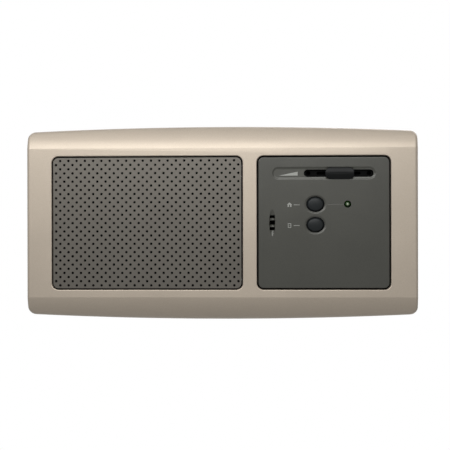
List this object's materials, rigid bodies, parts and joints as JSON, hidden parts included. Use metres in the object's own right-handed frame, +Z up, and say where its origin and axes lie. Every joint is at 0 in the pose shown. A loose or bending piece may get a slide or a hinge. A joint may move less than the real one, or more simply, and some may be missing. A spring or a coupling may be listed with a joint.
{
  "type": "intercom room station",
  "caption": "Flush wall intercom station: bowed champagne frame around a perforated speaker grille and a dark panel with volume slider, push buttons, indicator and microphone.",
  "frame": {"origin": "middle of the four wall screw holes, on the plane of the wall", "axes": "+X to the right seen from the front, +Y into the wall, +Z up"},
  "size_m": [0.234, 0.0401, 0.116],
  "materials": {
    "champagne_paint": "metallic champagne paint, satin",
    "grille_paint": "dark grey satin paint",
    "black_cloth": "woven",
    "chassis_black": "fine moulded texture",
    "panel_grey": "fine moulded texture",
    "control_black": "satin",
    "zinc_steel": "zinc plated",
    "black_steel": "black passivated",
    "phenolic_brown": "paper phenolic",
    "lens_green": "clear tinted",
    "nylon_white": "moulded nylon",
    "mic_can": "drawn can",
    "black_rubber": "moulded",
    "board_green": "solder mask",
    "terminal_green": "moulded nylon",
    "chip_black": "moulded epoxy",
    "capacitor_blue": "printed sleeve",
    "resistor_tan": "lacquer with colour bands",
    "wire_red": "insulation",
    "wire_black": "insulation",
    "lug_brass": "tinned at the end",
    "plated_iron": "zinc plated",
    "ferrite": "ground ceramic magnet",
    "cone_paper": "pulp paper",
    "copper_coil": "enamelled winding",
    "spider_cloth": "varnished cloth"
  },
  "bodies": {
    "station": {"front_frame": "champagne_paint", "speaker_grille": "grille_paint", "grille_cloth": "black_cloth", "chassis": "chassis_black", "control_panel": "panel_grey", "volume_pot_frame": "black_steel", "volume_pot_base": "phenolic_brown", "house_switch_body": "chip_black", "door_switch_body": "chip_black", "house_switch_dome": "zinc_steel", "door_switch_dome": "zinc_steel", "indicator_lens": "lens_green", "indicator_spacer": "nylon_white", "indicator_leads": "zinc_steel", "microphone": "mic_can", "microphone_boot": "black_rubber", "circuit_board": "board_green", "terminal_block": "terminal_green", "terminal_screws": "zinc_steel", "amplifier_chip": "chip_black", "logic_chip": "chip_black", "filter_capacitors": "capacitor_blue", "resistors": "resistor_tan", "speaker_connector": "nylon_white", "speaker_plug": "nylon_white", "speaker_lead_red": "wire_red", "speaker_lead_black": "wire_black", "speaker_gasket": "black_rubber", "speaker_basket": "zinc_steel", "speaker_terminal_strip": "phenolic_brown", "speaker_lugs": "lug_brass", "speaker_top_plate": "plated_iron", "speaker_magnet": "ferrite", "speaker_yoke": "plated_iron", "speaker_surround": "black_rubber", "speaker_spider": "spider_cloth", "speaker_screws": "zinc_steel", "panel_screws": "zinc_steel", "board_screws": "zinc_steel"},
    "volume_slider": {"volume_knob": "control_black", "volume_pot_lever": "chassis_black"},
    "house_key": {"house_button": "control_black", "house_switch_plunger": "nylon_white"},
    "door_key": {"door_button": "control_black", "door_switch_plunger": "nylon_white"},
    "cone_assembly": {"speaker_cone": "cone_paper", "speaker_dust_cap": "cone_paper", "speaker_voice_coil": "copper_coil"}
  },
  "joints": [
    {"name": "volume_slide", "type": "slide", "parent": "station", "child": "volume_slider", "axis": [1, 0, 0], "range_m": [-0.0106, 0.0094]},
    {"name": "house_press", "type": "slide", "parent": "station", "child": "house_key", "axis": [0, 1, 0], "range_m": [0, 0.0012], "stiffness_N_per_m": 1200, "deforming": ["house_switch_dome"]},
    {"name": "door_press", "type": "slide", "parent": "station", "child": "door_key", "axis": [0, 1, 0], "range_m": [0, 0.0012], "stiffness_N_per_m": 1200, "deforming": ["door_switch_dome"]},
    {"name": "cone_excursion", "type": "slide", "parent": "station", "child": "cone_assembly", "axis": [0, 1, 0], "range_m": [-0.001, 0.001], "stiffness_N_per_m": 2000, "deforming": ["speaker_surround", "speaker_spider"]}
  ]
}
